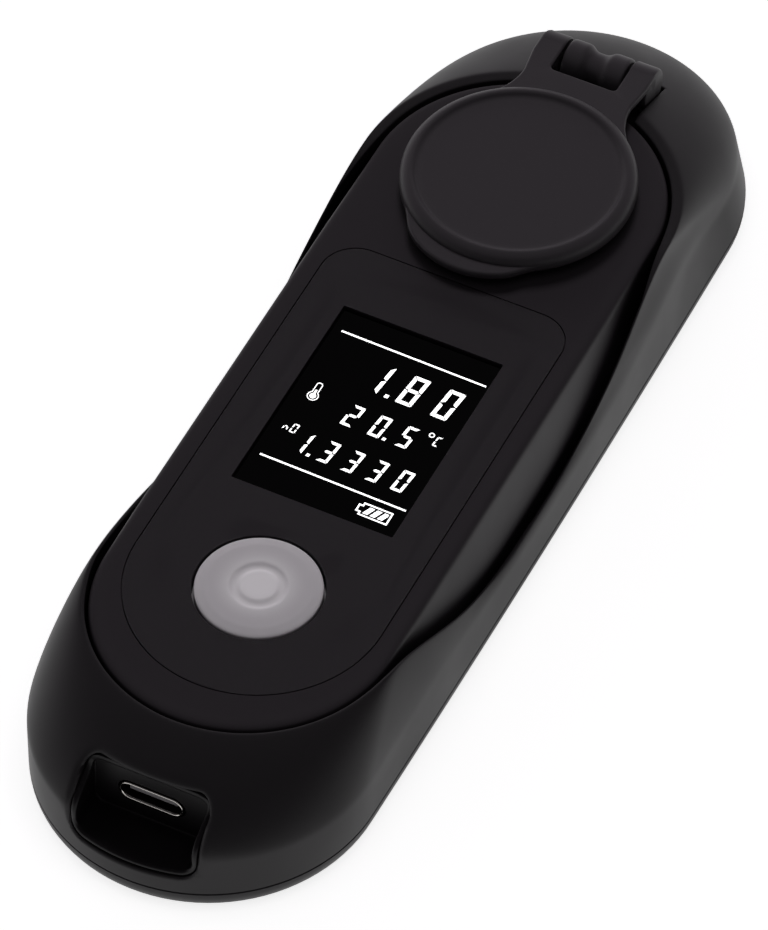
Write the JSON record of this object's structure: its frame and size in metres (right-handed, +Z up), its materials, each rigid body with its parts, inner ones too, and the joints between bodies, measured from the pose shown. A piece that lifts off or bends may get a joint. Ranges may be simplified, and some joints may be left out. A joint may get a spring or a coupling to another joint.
{
  "type": "digital refractometer",
  "caption": "Pocket digital refractometer: a stadium body with a flat deck, a display, a press button, a hinged round lid over a steel sample dish, and a USB-C socket.",
  "frame": {"origin": "centre of the base's underside, on the surface that it rests on", "axes": "+Z up out of the deck, +Y along the body towards the lid's hinge, +X to the right seen from the button's end"},
  "size_m": [0.0466, 0.152, 0.0245],
  "materials": {
    "soft_touch": "matt soft-touch coat",
    "casing_plastic": "satin black",
    "overlay_film": "satin film",
    "window_pane": "clear gloss over black",
    "button_rubber": "translucent grey silicone",
    "stainless_steel": "fine turned",
    "plated_shell": "bright nickel plate",
    "optical_glass": "polished",
    "lamp_lens": "clear epoxy",
    "seal_rubber": "smooth",
    "board_laminate": "solder mask",
    "black_plastic": "moulded",
    "cell_wrap": "shrink film",
    "foam_pad": "open foam",
    "lead_red": "wire sleeve",
    "lead_black": "wire sleeve",
    "flex_film": "polyimide film"
  },
  "bodies": {
    "housing": {"lower_housing": "soft_touch", "outer_sleeve": "soft_touch", "upper_casing": "casing_plastic", "front_overlay": "overlay_film", "display_window": "window_pane", "display_panel": "window_pane", "display_frame": "black_plastic", "display_flex": "flex_film", "main_board": "board_laminate", "processor_chip": "black_plastic", "tactile_switch": "black_plastic", "hinge_bracket": "casing_plastic", "hinge_pin": "stainless_steel", "sample_dish": "stainless_steel", "dish_seal": "seal_rubber", "prism": "optical_glass", "optics_block": "black_plastic", "lamp": "lamp_lens", "lamp_board": "board_laminate", "focus_lens": "optical_glass", "line_sensor": "black_plastic", "sensor_board": "board_laminate", "thermistor": "black_plastic", "usb_connector": "plated_shell", "usb_tongue": "black_plastic", "usb_bezel": "casing_plastic", "battery_cell": "cell_wrap", "battery_pad": "foam_pad", "battery_lead_positive": "lead_red", "battery_lead_negative": "lead_black", "housing_screw_1": "stainless_steel", "housing_screw_2": "stainless_steel", "housing_screw_3": "stainless_steel", "housing_screw_4": "stainless_steel", "board_screw_1": "stainless_steel", "board_screw_2": "stainless_steel", "board_screw_3": "stainless_steel", "board_screw_4": "stainless_steel"},
    "lid": {"lid": "casing_plastic", "lid_seal": "seal_rubber"},
    "button": {"measuring_button": "button_rubber", "switch_plunger": "black_plastic"}
  },
  "joints": [
    {"name": "lid_hinge", "type": "hinge", "parent": "housing", "child": "lid", "pos_m": [0, 0.05985, 0.0202], "axis": [-1, 0, 0], "range_deg": [0, 105]},
    {"name": "button_press", "type": "slide", "parent": "housing", "child": "button", "axis": [0, 0, -1], "range_m": [0, 0.0004], "stiffness_N_per_m": 1500}
  ]
}
